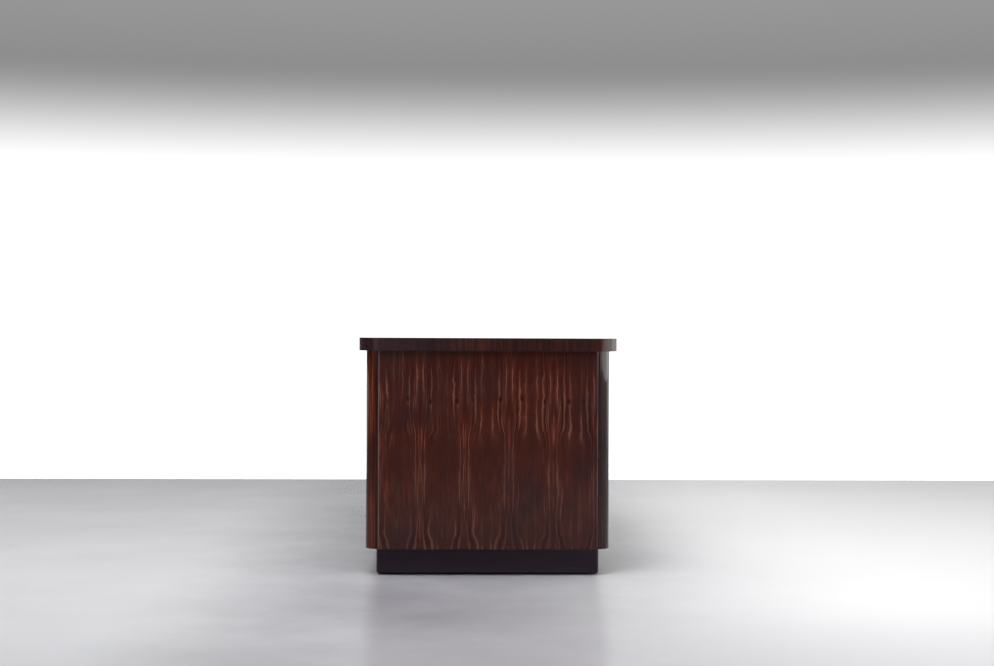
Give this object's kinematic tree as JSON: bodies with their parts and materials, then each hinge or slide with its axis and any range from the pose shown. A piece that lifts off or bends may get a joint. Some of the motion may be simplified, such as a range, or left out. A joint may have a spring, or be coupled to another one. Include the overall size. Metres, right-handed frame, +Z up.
{
  "type": "desk",
  "caption": "Pedestal writing desk: thick round-cornered top, quarter-round posts, proud end panels, drawers, a locking cupboard, a kneehole and set-back plinths.",
  "frame": {"origin": "on the floor under the middle of the top", "axes": "+X along the desk to the sitter's right, -Y towards the sitter, +Z up"},
  "size_m": [1.8, 0.842, 0.77],
  "materials": {
    "macassar_veneer": "dark streaked ebony veneer, polished lacquer",
    "black_plinth": "near-black stained wood, satin lacquer",
    "lining_wood": "pale hardwood, waxed",
    "core_wood": "bare softwood, sawn",
    "brass": "satin brass, lightly aged",
    "steel": "plain steel",
    "glide_felt": "dark glide, matt"
  },
  "bodies": {
    "carcass": {"desk_top": "macassar_veneer", "front_left_post": "macassar_veneer", "front_right_post": "macassar_veneer", "back_left_post": "macassar_veneer", "back_right_post": "macassar_veneer", "left_end_panel": "macassar_veneer", "right_end_panel": "macassar_veneer", "left_inner_side": "macassar_veneer", "right_inner_side": "macassar_veneer", "left_bottom_board": "macassar_veneer", "right_bottom_board": "macassar_veneer", "left_top_board": "macassar_veneer", "right_top_board": "macassar_veneer", "left_back_panel": "macassar_veneer", "right_back_panel": "macassar_veneer", "modesty_panel": "macassar_veneer", "kneehole_rail": "macassar_veneer", "left_plinth": "black_plinth", "right_plinth": "black_plinth", "left_outer_side": "lining_wood", "right_outer_side": "lining_wood", "shelf": "lining_wood", "drawer_runners": "lining_wood", "stop_blocks": "lining_wood", "end_battens": "core_wood", "plinth_corner_blocks": "core_wood", "hinge_frame_leaves": "brass", "hinge_pins": "brass", "shelf_pins": "brass", "keeper": "steel", "top_screws": "steel", "floor_glides": "glide_felt"},
    "drawer_1": {"drawer_1_front": "macassar_veneer", "drawer_1_sides": "lining_wood", "drawer_1_back": "lining_wood", "drawer_1_bottom": "lining_wood", "drawer_1_pull": "brass"},
    "drawer_2": {"drawer_2_front": "macassar_veneer", "drawer_2_sides": "lining_wood", "drawer_2_back": "lining_wood", "drawer_2_bottom": "lining_wood", "drawer_2_pull": "brass"},
    "drawer_3": {"drawer_3_front": "macassar_veneer", "drawer_3_sides": "lining_wood", "drawer_3_back": "lining_wood", "drawer_3_bottom": "lining_wood", "drawer_3_pull": "brass"},
    "centre_drawer": {"centre_drawer_front": "macassar_veneer", "centre_drawer_sides": "lining_wood", "centre_drawer_back": "lining_wood", "centre_drawer_bottom": "lining_wood", "centre_drawer_pull": "brass"},
    "door": {"cupboard_door": "macassar_veneer", "door_pull": "brass", "hinge_door_leaves": "brass", "lock_case": "steel", "lock_screws": "steel", "escutcheon": "brass"},
    "key": {"lock_key": "brass"},
    "bolt": {"lock_bolt": "steel"}
  },
  "joints": [
    {"name": "drawer_1_slide", "type": "slide", "parent": "carcass", "child": "drawer_1", "axis": [0, -1, 0], "range_m": [0, 0.42]},
    {"name": "drawer_2_slide", "type": "slide", "parent": "carcass", "child": "drawer_2", "axis": [0, -1, 0], "range_m": [0, 0.42]},
    {"name": "drawer_3_slide", "type": "slide", "parent": "carcass", "child": "drawer_3", "axis": [0, -1, 0], "range_m": [0, 0.42]},
    {"name": "centre_drawer_slide", "type": "slide", "parent": "carcass", "child": "centre_drawer", "axis": [0, -1, 0], "range_m": [0, 0.42]},
    {"name": "door_hinge", "type": "hinge", "parent": "carcass", "child": "door", "pos_m": [0.8085, -0.387, 0.406], "axis": [0, 0, 1], "range_deg": [0, 110]},
    {"name": "key_turn", "type": "hinge", "parent": "door", "child": "key", "pos_m": [0.37, -0.397, 0.357], "axis": [0, -1, 0], "range_deg": [0, 180]},
    {"name": "bolt_slide", "type": "slide", "parent": "door", "child": "bolt", "axis": [-1, 0, 0], "range_m": [0, 0.008]}
  ],
  "couplings": [
    {"joint": "key_turn", "follows": "bolt_slide", "rad_per_m": 392.69}
  ]
}
